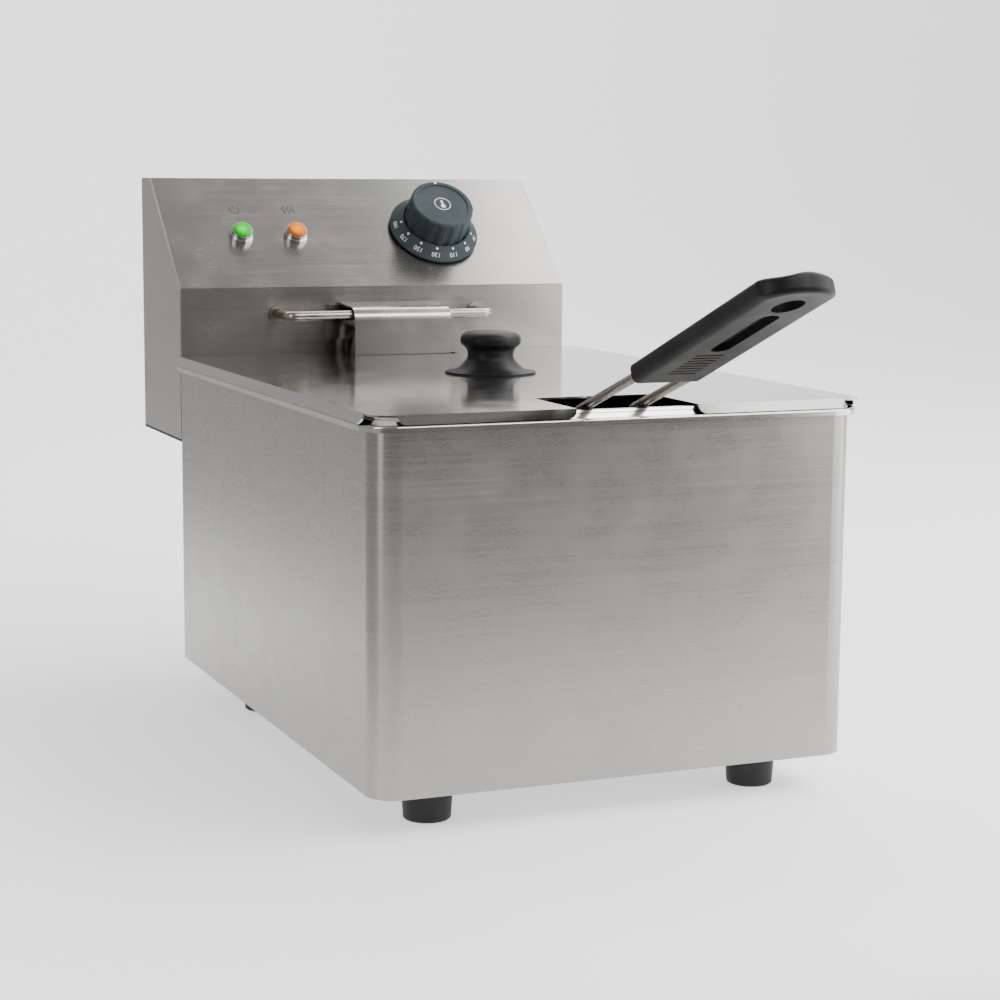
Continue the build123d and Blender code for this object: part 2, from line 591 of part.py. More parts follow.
# ================================================================ element
with BuildPart() as heating_element:
    for half_gap, half_width, front_y in ((22.5, 88.0, -118.0), (7.5, 34.0, -84.0)):
        left, right = ELEMENT_X - half_gap, ELEMENT_X + half_gap
        add_tube(
            [
                (left, HEAD_FRONT_Y + 24, ELEMENT_EXIT_Z),
                (left, ELEMENT_DROP_Y, ELEMENT_EXIT_Z),
                (left, ELEMENT_DROP_Y, ELEMENT_FLOOR_Z),
                (ELEMENT_X - half_width, 108, ELEMENT_FLOOR_Z),
                (ELEMENT_X - half_width, front_y, ELEMENT_FLOOR_Z),
                (ELEMENT_X + half_width, front_y, ELEMENT_FLOOR_Z),
                (ELEMENT_X + half_width, 108, ELEMENT_FLOOR_Z),
                (right, ELEMENT_DROP_Y, ELEMENT_FLOOR_Z),
                (right, ELEMENT_DROP_Y, ELEMENT_EXIT_Z),
                (right, HEAD_FRONT_Y + 24, ELEMENT_EXIT_Z),
            ],
            bend=9,
            radius=ELEMENT_R,
        )

with BuildPart() as element_flange:
    add_block((-36.5, 37.5), (HEAD_FRONT_Y - 3, HEAD_FRONT_Y), (217.7, 239.2))
    for tube_x in ELEMENT_XS:
        hole = facing(tube_x, HEAD_FRONT_Y + 1, ELEMENT_EXIT_Z, front_face)
        add_discs(hole, [(0, 6, ELEMENT_R + 0.05)], Mode.SUBTRACT)
    capillary_bore = facing(CAPILLARY_X, HEAD_FRONT_Y + 1, CAPILLARY_Z, front_face)
    add_discs(capillary_bore, [(0, 6, 1.4)], Mode.SUBTRACT)

with BuildPart() as element_nuts:
    for tube_x in ELEMENT_XS:
        nut_plane = facing(tube_x, HEAD_FRONT_Y + SHEET, ELEMENT_EXIT_Z, (0, 1, 0))
        add_hex(nut_plane, 0, 4, 12.5, ELEMENT_R + 0.05)

with BuildPart() as element_cover:
    with BuildSketch(Plane.YZ.offset(COVER_X[0])) as cover_profile:
        with BuildLine():
            FilletPolyline(
                (HEAD_FRONT_Y - 0.1, COVER_TOP_Z),
                (COVER_FRONT_Y, COVER_TOP_Z - COVER_FALL),
                (COVER_FRONT_Y, COVER_BOTTOM_Z),
                radius=COVER_BEND_R,
            )
            offset(amount=SHEET, side=Side.LEFT, closed=True)
        make_face()
    extrude(amount=COVER_X[1] - COVER_X[0])
    for side_x, inward in ((COVER_X[0], SHEET), (COVER_X[1], -SHEET)):
        with BuildSketch(Plane.YZ.offset(side_x)) as side_return:
            with BuildLine():
                Polyline(
                    (COVER_FRONT_Y + 0.5, COVER_BOTTOM_Z),
                    (COVER_FRONT_Y + 13, COVER_BOTTOM_Z),
                    (COVER_FRONT_Y + 0.5, 226.0),
                    close=True,
                )
            make_face()
        extrude(side_return.sketch, amount=inward)

# ================================================================ thermostat bulb
BULB_X = ELEMENT_X
BULB_Z = (84.0, 164.0)
BULB_Y = ELEMENT_DROP_Y - 0.2
with BuildPart() as thermostat_bulb:
    add_discs(Plane((BULB_X, BULB_Y, 0)), [(BULB_Z[0], BULB_Z[1], 3.0)])

CAPILLARY_Y = ELEMENT_DROP_Y + ELEMENT_R + 1.9
with BuildPart() as thermostat_capillary:
    add_tube(
        [
            (DIAL_X - 8, 232.0, 236.0),
            (CAPILLARY_X, 214.0, CAPILLARY_Z),
            (CAPILLARY_X, CAPILLARY_Y, CAPILLARY_Z),
            (CAPILLARY_X, CAPILLARY_Y, 196.0),
            (BULB_X, CAPILLARY_Y, 184.0),
            (BULB_X, BULB_Y, 174.0),
            (BULB_X, BULB_Y, BULB_Z[1]),
        ],
        bend=3,
        radius=1.1,
    )

with BuildPart() as bulb_clip:
    clip_z = (118.0, 126.0)
    add_block((ELEMENT_X - 13, ELEMENT_X + 13), (BULB_Y - 4.8, BULB_Y + 4.8), clip_z)
    for offset_x in (-7.5, 7.5):
        tube_plane = Plane((ELEMENT_X + offset_x, ELEMENT_DROP_Y, 0))
        add_discs(tube_plane, [(110, 130, ELEMENT_R + 0.05)], Mode.SUBTRACT)
    add_discs(Plane((BULB_X, BULB_Y, 0)), [(110, 130, 3.05)], Mode.SUBTRACT)

# ================================================================ hanger bar
with BuildPart() as hanger_bar:
    add_tube(
        [
            (BAR_X[0], HEAD_FRONT_Y + 14, BAR_Z),
            (BAR_X[0], BAR_Y, BAR_Z),
            (BAR_X[1], BAR_Y, BAR_Z),
            (BAR_X[1], HEAD_FRONT_Y + 14, BAR_Z),
        ],
        bend=5,
        radius=BAR_R,
    )

with BuildPart() as hanger_washers:
    for bar_x in BAR_X:
        foot_plane = facing(bar_x, HEAD_FRONT_Y, BAR_Z, (0, -1, 0))
        add_discs(foot_plane, [(0, 1.2, 5.5)])
        add_discs(foot_plane, [(-1, 3, BAR_R + 0.05)], Mode.SUBTRACT)

with BuildPart() as hanger_nuts:
    for bar_x in BAR_X:
        add_hex(facing(bar_x, HEAD_FRONT_Y + SHEET, BAR_Z, (0, 1, 0)), 0, 5, 10.0, BAR_R + 0.05)

# ================================================================ basket
BASKET_D = BASKET_REAR_Y - BASKET_FRONT_Y
BASKET_MID_Y = (BASKET_REAR_Y + BASKET_FRONT_Y) / 2
with BuildPart() as basket_mesh:
    with BuildSketch(Plane.XY.offset(BASKET_BOTTOM_Z)):
        with Locations((BASKET_X, BASKET_MID_Y)):
            RectangleRounded(BASKET_W, BASKET_D, radius=BASKET_CORNER_R)
    extrude(amount=BASKET_TOP_Z - BASKET_BOTTOM_Z)
    fillet(basket_mesh.faces().sort_by(Axis.Z)[0].edges(), radius=10)
    offset(amount=-BASKET_WALL, openings=basket_mesh.faces().sort_by(Axis.Z)[-1])


def basket_loop(z):
    """Closed wire loop around the outside of the basket at height z."""
    grow = WIRE_R + 0.05
    with BuildSketch(Plane.XY.offset(z)) as loop:
        with Locations((BASKET_X, BASKET_MID_Y)):
            RectangleRounded(BASKET_W + 2 * grow, BASKET_D + 2 * grow, radius=BASKET_CORNER_R + grow)
    path = loop.sketch.faces()[0].outer_wire()
    with BuildPart() as wire:
        with BuildSketch(Plane(origin=path @ 0, z_dir=path % 0)) as section:
            Circle(WIRE_R)
        sweep(section.sketch, path=path)
    return wire


RIM_WIRE_Z = BASKET_TOP_Z
BAND_WIRE_Z = 140.0
basket_rim_wire = basket_loop(RIM_WIRE_Z)
basket_band_wire = basket_loop(BAND_WIRE_Z)

ROD_Y = BASKET_FRONT_Y - 3 * WIRE_R - 0.4
ROD_IN_GRIP = 80.0
with BuildPart() as basket_handle_rods:
    for side in (-1, 1):
        rod_x = BASKET_X + side * ROD_SPACING / 2
        elbow_z = GRIP_FACE_Z - (ROD_Y - GRIP_FACE_Y) * tan(ROD_SLOPE)
        add_tube(
            [
                (
                    rod_x,
                    GRIP_FACE_Y - ROD_IN_GRIP * cos(GRIP_SLOPE),
                    GRIP_FACE_Z + ROD_IN_GRIP * sin(GRIP_SLOPE),
                ),
                (rod_x, GRIP_FACE_Y, GRIP_FACE_Z),
                (rod_x, ROD_Y, elbow_z),
                (rod_x, ROD_Y, BAND_WIRE_Z - 6),
            ],
            bend=[60, 9],
            radius=WIRE_R,
        )

with BuildPart() as basket_floor_wires:
    for wire_x in (BASKET_X - 48, BASKET_X + 48):
        add_tube(
            [
                (wire_x, BASKET_FRONT_Y - 3 * WIRE_R - 0.2, BAND_WIRE_Z + 8),
                (wire_x, BASKET_FRONT_Y - 3 * WIRE_R - 0.2, BASKET_BOTTOM_Z - WIRE_R - 0.1),
                (wire_x, BASKET_REAR_Y + 3 * WIRE_R + 0.2, BASKET_BOTTOM_Z - WIRE_R - 0.1),
                (wire_x, BASKET_REAR_Y + 3 * WIRE_R + 0.2, BAND_WIRE_Z + 8),
            ],
            bend=12,
            radius=WIRE_R,
        )

HOOK_W = 30.0
with BuildPart() as basket_hook:
    hook_top = RIM_WIRE_Z + WIRE_R + 0.1
    with BuildSketch(Plane.YZ.offset(BASKET_X - HOOK_W / 2)) as hook_profile:
        with BuildLine():
            FilletPolyline(
                (BASKET_REAR_Y + 0.4, hook_top),
                (BASKET_REAR_Y + 13, hook_top),
                (BASKET_REAR_Y + 13, hook_top - 16),
                radius=3,
            )
            offset(amount=1.6, side=Side.LEFT, closed=True)
        make_face()
    extrude(amount=HOOK_W)

GRIP_SECTION = Plane(
    origin=(BASKET_X, GRIP_FACE_Y, GRIP_FACE_Z),
    x_dir=(1, 0, 0),
    z_dir=(0, -cos(GRIP_SLOPE), sin(GRIP_SLOPE)),
)
GRIP_PLAN = Plane(origin=GRIP_SECTION.origin, x_dir=GRIP_SECTION.z_dir, z_dir=GRIP_SECTION.y_dir)
GRIP_NOSE_R = 17.5
GRIP_END_R = 2.5
HANG_HOLE_T = 120.5
RECESS_T = (53.0, 107.5)
RECESS_W = 9.6
RIB_PITCH = 4.2
with BuildPart() as basket_handle_grip:
    with BuildSketch(GRIP_SECTION):
        with BuildLine():
            flat = GRIP_HALF_W - 3.9
            shoulder = (0.7 * GRIP_HALF_W, GRIP_WAIST + 0.72 * (GRIP_DOME - GRIP_WAIST))
            Line((-flat, -GRIP_UNDER), (flat, -GRIP_UNDER))
            Spline((flat, -GRIP_UNDER), (GRIP_HALF_W, GRIP_WAIST), tangents=[(1, 0), (0, 1)])
            Spline(
                (GRIP_HALF_W, GRIP_WAIST),
                shoulder,
                (0, GRIP_DOME),
                (-shoulder[0], shoulder[1]),
                (-GRIP_HALF_W, GRIP_WAIST),
                tangents=[(0, 1), (0, -1)],
            )
            Spline((-GRIP_HALF_W, GRIP_WAIST), (-flat, -GRIP_UNDER), tangents=[(0, -1), (1, 0)])
        make_face()
    extrude(amount=GRIP_LENGTH)
    with BuildSketch(GRIP_PLAN.offset(-20)) as plan:
        with Locations((GRIP_LENGTH / 2, 0)):
            Rectangle(GRIP_LENGTH, 2 * GRIP_HALF_W + 2)
        fillet(plan.vertices().group_by(Axis.X)[-1], radius=GRIP_NOSE_R)
        fillet(plan.vertices().group_by(Axis.X)[0], radius=5)
    extrude(amount=40, mode=Mode.INTERSECT)
    fillet([edge for edge in basket_handle_grip.edges() if edge.geom_type != GeomType.LINE], radius=GRIP_END_R)
    with BuildSketch(GRIP_PLAN.offset(-20)) as hang_hole:
        with Locations((HANG_HOLE_T, 0)):
            Ellipse(8.8, 6.9)
    extrude(hang_hole.sketch, amount=40, mode=Mode.SUBTRACT)
    with BuildSketch(GRIP_PLAN.offset(-GRIP_UNDER - 1)) as recess:
        with Locations((sum(RECESS_T) / 2, 0)):
            SlotOverall(RECESS_T[1] - RECESS_T[0], RECESS_W)
    extrude(recess.sketch, amount=4.6, mode=Mode.SUBTRACT)
    with BuildSketch(GRIP_PLAN.offset(-GRIP_UNDER - 1)) as ribs:
        with Locations((32.0, 0)):
            with GridLocations(RIB_PITCH, 0, 8, 1):
                SlotOverall(15, 1.6, rotation=90)
    extrude(ribs.sketch, amount=1.8, mode=Mode.SUBTRACT)
    for side in (-1, 1):
        rod_plane = Plane(
            origin=(BASKET_X + side * ROD_SPACING / 2, GRIP_FACE_Y, GRIP_FACE_Z),
            z_dir=GRIP_SECTION.z_dir,
        )
        add_discs(rod_plane, [(-2, ROD_IN_GRIP + 0.5, WIRE_R + 0.15)], Mode.SUBTRACT)

PIECES = {
    "outer_housing": outer_housing,
    "base_plate": base_plate,
    "base_plate_screws": base_plate_screws,
    "feet": feet,
    "foot_screws": foot_screws,
    "foot_nuts": foot_nuts,
    "head_locating_studs": head_locating_studs,
    "oil_pan": oil_pan,
    "lid_panel": lid_panel,
    "lid_knob": lid_knob,
    "lid_knob_washer": lid_knob_washer,
    "lid_knob_screw": lid_knob_screw,
    "head_front_panel": head_front_panel,
    "head_left_end": head_left_end,
    "head_right_end": head_right_end,
    "head_rear_cover": head_rear_cover,
    "rear_cover_screws": rear_cover_screws,
    "head_bottom_plate": head_bottom_plate,
    "cable_gland": cable_gland,
    "gland_locknut": gland_locknut,
    "thermostat_body": thermostat_body,
    "thermostat_screws": thermostat_screws,
    "thermostat_shaft": thermostat_shaft,
    "dial_skirt": dial_skirt,
    "knob_grip": knob_grip,
    "green_lamp_bezel": green_lamp_bezel,
    "green_lamp_lens": green_lamp_lens,
    "orange_lamp_bezel": orange_lamp_bezel,
    "orange_lamp_lens": orange_lamp_lens,
    "lamp_nuts": lamp_nuts,
    "high_limit_cutout": high_limit_cutout,
    "reset_button": reset_button,
    "terminal_block": terminal_block,
    "interlock_microswitch": interlock_microswitch,
    "heating_element": heating_element,
    "element_flange": element_flange,
    "element_nuts": element_nuts,
    "element_cover": element_cover,
    "thermostat_bulb": thermostat_bulb,
    "thermostat_capillary": thermostat_capillary,
    "bulb_clip": bulb_clip,
    "hanger_bar": hanger_bar,
    "hanger_washers": hanger_washers,
    "hanger_nuts": hanger_nuts,
    "basket_mesh": basket_mesh,
    "basket_rim_wire": basket_rim_wire,
    "basket_band_wire": basket_band_wire,
    "basket_floor_wires": basket_floor_wires,
    "basket_handle_rods": basket_handle_rods,
    "basket_hook": basket_hook,
    "basket_handle_grip": basket_handle_grip,
}

os.makedirs("parts", exist_ok=True)
for label, piece in PIECES.items():
    piece.part.label = label
    export_step(piece.part, f"parts/{label}.step")
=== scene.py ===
import json
from math import atan2, cos, pi, radians, sin, tau

import bmesh
import bpy
from mathutils import Matrix, Vector


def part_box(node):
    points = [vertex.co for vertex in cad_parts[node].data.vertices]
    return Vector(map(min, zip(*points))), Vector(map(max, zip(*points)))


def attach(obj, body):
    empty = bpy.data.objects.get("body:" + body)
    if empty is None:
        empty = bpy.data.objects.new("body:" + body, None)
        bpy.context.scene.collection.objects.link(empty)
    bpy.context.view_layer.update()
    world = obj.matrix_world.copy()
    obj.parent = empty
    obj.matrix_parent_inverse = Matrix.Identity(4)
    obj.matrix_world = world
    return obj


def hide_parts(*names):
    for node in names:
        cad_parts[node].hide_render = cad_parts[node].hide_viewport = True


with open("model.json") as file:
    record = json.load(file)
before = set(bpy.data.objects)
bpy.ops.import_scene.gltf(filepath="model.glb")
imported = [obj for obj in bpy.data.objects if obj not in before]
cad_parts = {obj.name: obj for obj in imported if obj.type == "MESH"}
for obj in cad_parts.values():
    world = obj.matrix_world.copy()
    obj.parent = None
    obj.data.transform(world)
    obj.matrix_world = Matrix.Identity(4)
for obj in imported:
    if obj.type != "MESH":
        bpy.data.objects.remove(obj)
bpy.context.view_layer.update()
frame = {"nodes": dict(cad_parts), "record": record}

NODES = frame["nodes"]
MM = 0.001


# ================================================================ shader helpers
class Shader:
    """One Principled material and short names for the nodes that feed it."""

    def __init__(self, name, **constants):
        self.material = bpy.data.materials.new(name)
        self.material.use_nodes = True
        self.tree = self.material.node_tree
        self.tree.nodes.clear()
        output = self.tree.nodes.new("ShaderNodeOutputMaterial")
        self.bsdf = self.tree.nodes.new("ShaderNodeBsdfPrincipled")
        self.tree.links.new(self.bsdf.outputs[0], output.inputs["Surface"])
        for socket, value in constants.items():
            self.bsdf.inputs[socket.replace("_", " ")].default_value = value
        self.coords = self.tree.nodes.new("ShaderNodeTexCoord").outputs["Object"]

    def feed(self, source, socket):
        self.tree.links.new(source, self.bsdf.inputs[socket])

    def put(self, node, socket, value):
        """Link value into a node's socket if it is an output, or store it as a constant."""
        if isinstance(value, bpy.types.NodeSocket):
            self.tree.links.new(value, node.inputs[socket])
        else:
            node.inputs[socket].default_value = value

    def scaled(self, scale):
        mapping = self.tree.nodes.new("ShaderNodeMapping")
        self.tree.links.new(self.coords, mapping.inputs["Vector"])
        mapping.inputs["Scale"].default_value = scale
        return mapping.outputs[0]

    def noise(self, scale, detail=4.0, roughness=0.55, vector=None, distortion=0.0):
        node = self.tree.nodes.new("ShaderNodeTexNoise")
        self.tree.links.new(vector or self.coords, node.inputs["Vector"])
        node.inputs["Scale"].default_value = scale
        node.inputs["Detail"].default_value = detail
        node.inputs["Roughness"].default_value = roughness
        node.inputs["Distortion"].default_value = distortion
        return node.outputs["Fac"]

    def ramp(self, value, low, high, out_low, out_high):
        node = self.tree.nodes.new("ShaderNodeMapRange")
        node.inputs["From Min"].default_value = low
        node.inputs["From Max"].default_value = high
        node.inputs["To Min"].default_value = out_low
        node.inputs["To Max"].default_value = out_high
        self.tree.links.new(value, node.inputs["Value"])
        return node.outputs["Result"]

    def math(self, operation, first, second):
        node = self.tree.nodes.new("ShaderNodeMath")
        node.operation = operation
        for index, value in enumerate((first, second)):
            self.put(node, index, value)
        return node.outputs[0]

    def mix(self, factor, first, second):
        """Blend two colours; a colour is an output or a constant of three numbers."""
        node = self.tree.nodes.new("ShaderNodeMix")
        node.data_type = "RGBA"
        self.put(node, "Factor", factor)
        for socket, value in ((6, first), (7, second)):
            if isinstance(value, tuple):
                value = (*value, 1.0)
            self.put(node, socket, value)
        return node.outputs[2]

    def bump(self, height, strength, distance):
        node = self.tree.nodes.new("ShaderNodeBump")
        node.inputs["Strength"].default_value = strength
        node.inputs["Distance"].default_value = distance
        self.tree.links.new(height, node.inputs["Height"])
        return node.outputs[0]

    def tangent(self, axis):
        node = self.tree.nodes.new("ShaderNodeTangent")
        node.direction_type = "RADIAL"
        node.axis = axis
        self.feed(node.outputs[0], "Tangent")


# How many times finer the brushed grain is across its lines than along them.
GRAIN_FINE = 900.0
GRAIN_LONG = 9.0
GRAIN_BUMP = 0.00012
ALONG_X = (GRAIN_LONG, GRAIN_FINE, GRAIN_FINE)
AROUND_Z = (GRAIN_LONG, GRAIN_LONG, GRAIN_FINE)


def brushed_steel(name, colour, grain, roughness, tangent=None, turn=0.0, anisotropy=0.7, depth=0.006):
    """Stainless sheet brushed in one direction, with faint smears and warmer handling marks.

    The gloss spreads along the tangent, so tangent and turn put it across the grain.
    """
    shader = Shader(name, Metallic=1.0, Anisotropic=anisotropy, Anisotropic_Rotation=turn)
    if tangent:
        shader.tangent(tangent)
    stretched = shader.scaled(grain)
    lines = shader.noise(1.0, 2.0, 0.5, stretched)
    broad = shader.noise(0.22, 3.0, 0.6, stretched)
    cloud = shader.noise(7.0, 3.0, 0.5, distortion=0.4)
    smear = shader.noise(38.0, 4.0, 0.6)
    dark = tuple(channel * 0.95 for channel in colour)
    light = tuple(min(1.0, channel * 1.03) for channel in colour)
    tone = shader.mix(shader.ramp(lines, 0.3, 0.7, 0.0, 1.0), dark, light)
    tone = shader.mix(shader.ramp(broad, 0.35, 0.65, 0.0, 0.35), tone, light)
    warm = tuple(channel * tint for channel, tint in zip(colour, (0.93, 0.91, 0.88)))
    tone = shader.mix(shader.ramp(cloud, 0.42, 0.72, 0.0, 0.35), tone, warm)
    shader.feed(tone, "Base Color")
    rough = shader.ramp(lines, 0.25, 0.75, roughness - 0.012, roughness + 0.018)
    rough = shader.math("ADD", rough, shader.ramp(smear, 0.45, 0.75, 0.0, 0.05))
    shader.feed(rough, "Roughness")
    shader.feed(shader.bump(lines, depth, GRAIN_BUMP), "Normal")
    return shader.material


def plain_metal(name, colour, roughness):
    """Drawn, plated or wire metal: fine pitting and slightly uneven lustre."""
    shader = Shader(name, Metallic=1.0)
    fine = shader.noise(900.0, 4.0, 0.6)
    cloud = shader.noise(60.0, 3.0, 0.55)
    dark = tuple(channel * 0.82 for channel in colour)
    shader.feed(shader.mix(shader.ramp(cloud, 0.35, 0.7, 0.0, 1.0), dark, colour), "Base Color")
    shader.feed(shader.ramp(cloud, 0.3, 0.7, roughness - 0.06, roughness + 0.08), "Roughness")
    shader.feed(shader.bump(fine, 0.03, 0.0001), "Normal")
    return shader.material


def moulded(name, colour, roughness, grain=1400.0, depth=0.12, specular=0.35):
    """Moulded plastic or rubber with a fine spark-eroded texture and faint rubbed patches."""
    shader = Shader(name, Specular_IOR_Level=specular)
    fine = shader.noise(grain, 3.0, 0.6)
    cloud = shader.noise(45.0, 3.0, 0.55, distortion=0.3)
    rubbed = tuple(min(1.0, channel * 1.35 + 0.004) for channel in colour)
    shader.feed(shader.mix(shader.ramp(cloud, 0.45, 0.75, 0.0, 0.7), colour, rubbed), "Base Color")
    shader.feed(shader.ramp(cloud, 0.3, 0.75, roughness + 0.06, roughness - 0.07), "Roughness")
    shader.feed(shader.bump(fine, depth, 0.00015), "Normal")
    return shader.material


LENS_CORE_R = 2.6 * MM
LENS_RING_FROM = 3.0 * MM
LENS_RING_TO = 5.8 * MM


def lit_lens(name, centre, normal, deep, glow, hot, strength):
    """Translucent lamp lens, bright inside with a hot core and a darker moulded ring."""
    gloss = {"Roughness": 0.18, "Specular_IOR_Level": 0.35, "Coat_Weight": 0.2, "Coat_Roughness": 0.05}
    shader = Shader(name, **gloss)
    offset = shader.tree.nodes.new("ShaderNodeVectorMath")
    offset.operation = "SUBTRACT"
    shader.tree.links.new(shader.coords, offset.inputs[0])
    offset.inputs[1].default_value = centre
    across = shader.tree.nodes.new("ShaderNodeVectorMath")
    across.operation = "CROSS_PRODUCT"
    shader.tree.links.new(offset.outputs[0], across.inputs[0])
    across.inputs[1].default_value = normal
    length = shader.tree.nodes.new("ShaderNodeVectorMath")
    length.operation = "LENGTH"
    shader.tree.links.new(across.outputs[0], length.inputs[0])
    radius = length.outputs["Value"]
    core = shader.ramp(radius, 0.0, LENS_CORE_R, 1.0, 0.0)
    rim = shader.ramp(radius, LENS_RING_FROM, LENS_RING_TO, 0.0, 1.0)
    ripple = shader.noise(700.0, 2.0, 0.5)
    colour = shader.mix(core, glow, hot)
    colour = shader.mix(rim, colour, deep)
    colour = shader.mix(shader.ramp(ripple, 0.4, 0.7, 0.0, 0.35), colour, deep)
    shader.feed(colour, "Base Color")
    shader.feed(colour, "Emission Color")
    shader.bsdf.inputs["Emission Strength"].default_value = strength
    shader.feed(shader.bump(ripple, 0.2, 0.0003), "Normal")
    return shader.material


def flat_paint(name, colour):
    """Screen-printed ink: slightly uneven coverage."""
    shader = Shader(name, Specular_IOR_Level=0.3)
    speckle = shader.noise(2600.0, 2.0, 0.5)
    thin = tuple(channel * 0.86 for channel in colour)
    shader.feed(shader.mix(shader.ramp(speckle, 0.4, 0.7, 0.0, 1.0), colour, thin), "Base Color")
    shader.feed(shader.ramp(speckle, 0.3, 0.7, 0.45, 0.58), "Roughness")
    return shader.material


# ================================================================ mesh helpers
def finished(name, mesh):
    """Turn a bmesh into mesh data with its faces pointing outward."""
    bmesh.ops.recalc_face_normals(mesh, faces=mesh.faces)
    data = bpy.data.meshes.new(name)
    mesh.to_mesh(data)
    mesh.free()
    return data


def piece_from(name, data, material, body, smooth=True):
    """Put finished mesh data into the scene as a piece riding on a body."""
    piece = bpy.data.objects.new(name, data)
    bpy.context.scene.collection.objects.link(piece)
    data.materials.append(material)
    for polygon in data.polygons:
        polygon.use_smooth = smooth
    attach(piece, body)
    return piece


def tube_rings(mesh, points, radius, sides, closed):
    """Add one round wire along points to a bmesh, with capped ends unless it is closed."""
    count = len(points)
    rings = []
    up = None
    for index, point in enumerate(points):
        before = points[index - 1] if index or closed else point
        after = points[(index + 1) % count] if index < count - 1 or closed else point
        along = (after - before).normalized()
        if up is None:
            up = along.orthogonal().normalized()
        up = (up - along * up.dot(along)).normalized()
        side = along.cross(up)
        ring = []
        for step in range(sides):
            angle = tau * step / sides
            ring.append(mesh.verts.new(point + (up * cos(angle) + side * sin(angle)) * radius))
        rings.append(ring)
    pairs = list(zip(rings, rings[1:]))
    if closed:
        first, last = rings[0], rings[-1]
        shift = min(range(sides), key=lambda turn: (first[turn].co - last[0].co).length)
        pairs.append((last, first[shift:] + first[:shift]))
    for near, far in pairs:
        for step in range(sides):
            nxt = (step + 1) % sides
            mesh.faces.new((near[step], near[nxt], far[nxt], far[step]))
    if not closed:
        mesh.faces.new(list(reversed(rings[0])))
        mesh.faces.new(rings[-1])


def wires(name, paths, radius, material, body, sides, closed=False):
    """Many round wires as one mesh piece."""
    mesh = bmesh.new()
    for points in paths:
        tube_rings(mesh, points, radius, sides, closed)
    return piece_from(name, finished(name, mesh), material, body)


def paint_node(node, material):
    for material_slot in NODES[node].material_slots:
        material_slot.material = material


# ================================================================ record geometry
def corners(node):
    low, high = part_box(node)
    return Vector(low), Vector(high)


def middle(node):
    low, high = corners(node)
    return (low + high) / 2


def joint(name):
    return next(entry for entry in frame["record"]["behaviour"]["joints"] if entry["name"] == name)


DIAL_CENTRE = Vector(joint("dial_turn")["pos_m"])
PANEL_NORMAL = Vector(joint("dial_turn")["axis"]).normalized()
PANEL_UP = PANEL_NORMAL.cross(Vector((1, 0, 0))).normalized()


def panel_matrix(centre, height):
    """Matrix whose X runs across the slanted panel, Y up it and Z out of it."""
    origin = centre + PANEL_NORMAL * height
    basis = Matrix((Vector((1, 0, 0)), PANEL_UP, PANEL_NORMAL)).transposed()
    return Matrix.Translation(origin) @ basis.to_4x4()


# ================================================================ materials
# The housing, head and end steels have base colours darker than bare stainless: painted shade for the dim
# surroundings they reflect.
housing_steel = brushed_steel(
    "housing_steel", (0.345, 0.333, 0.317), AROUND_Z, 0.27, "Z", 0.25, depth=0.0006
)
head_steel = brushed_steel("head_steel", (0.36, 0.345, 0.328), ALONG_X, 0.23, "X", depth=0.0006)
end_steel = brushed_steel("end_steel", (0.40, 0.39, 0.375), AROUND_Z, 0.30, "Z", 0.25, depth=0.0006)
lid_steel = brushed_steel(
    "lid_steel", (0.46, 0.45, 0.435), ALONG_X, 0.11, "X", anisotropy=0.35, depth=0.004
)
cover_steel = brushed_steel(
    "cover_steel", (0.50, 0.48, 0.455), ALONG_X, 0.2, "X", anisotropy=0.4, depth=0.005
)
pan_steel = brushed_steel("pan_steel", (0.62, 0.61, 0.60), AROUND_Z, 0.16, anisotropy=0.0, depth=0.02)
galvanised = plain_metal("galvanised", (0.50, 0.51, 0.52), 0.45)
screw_steel = plain_metal("screw_steel", (0.48, 0.48, 0.47), 0.35)
wire_steel = plain_metal("wire_steel", (0.44, 0.41, 0.36), 0.26)
chrome = plain_metal("chrome", (0.78, 0.78, 0.78), 0.12)
element_metal = plain_metal("element_metal", (0.52, 0.50, 0.47), 0.3)
copper = plain_metal("copper", (0.62, 0.36, 0.22), 0.3)
foot_rubber = moulded("foot_rubber", (0.010, 0.010, 0.011), 0.55)
phenolic = moulded("phenolic", (0.009, 0.009, 0.0095), 0.42, 1100.0, 0.08, specular=0.2)
black_plastic = moulded("black_plastic", (0.02, 0.02, 0.022), 0.5)
dial_plastic = moulded("dial_plastic", (0.046, 0.060, 0.065), 0.55, specular=0.08)
white_plastic = moulded("white_plastic", (0.72, 0.70, 0.66), 0.4)
red_plastic = moulded("red_plastic", (0.45, 0.03, 0.025), 0.35)
white_ink = flat_paint("white_ink", (0.86, 0.86, 0.84))
grey_ink = flat_paint("grey_ink", (0.085, 0.081, 0.077))

PAINT = {
    housing_steel: ["outer_housing"],
    head_steel: ["head_front_panel"],
    end_steel: ["head_left_end", "head_right_end"],
    lid_steel: ["lid_panel"],
    cover_steel: ["element_cover", "element_flange"],
    pan_steel: ["oil_pan", "bulb_clip"],
    galvanised: ["base_plate", "head_rear_cover"],
    screw_steel: [
        "base_plate_screws", "foot_screws", "foot_nuts", "head_locating_studs", "rear_cover_screws",
        "thermostat_screws", "element_nuts", "hanger_nuts", "thermostat_shaft", "lid_knob_washer",
        "lid_knob_screw",
    ],
    wire_steel: [
        "hanger_bar", "hanger_washers", "basket_rim_wire", "basket_band_wire", "basket_floor_wires",
        "basket_handle_rods", "basket_hook",
    ],
    chrome: ["green_lamp_bezel", "orange_lamp_bezel"],
    element_metal: ["heating_element"],
    copper: ["thermostat_bulb", "thermostat_capillary"],
    foot_rubber: ["feet"],
    phenolic: ["lid_knob", "basket_handle_grip"],
    black_plastic: [
        "head_bottom_plate", "cable_gland", "gland_locknut", "lamp_nuts", "high_limit_cutout",
        "interlock_microswitch",
    ],
    dial_plastic: ["dial_skirt", "knob_grip"],
    white_plastic: ["thermostat_body", "terminal_block"],
    red_plastic: ["reset_button"],
}
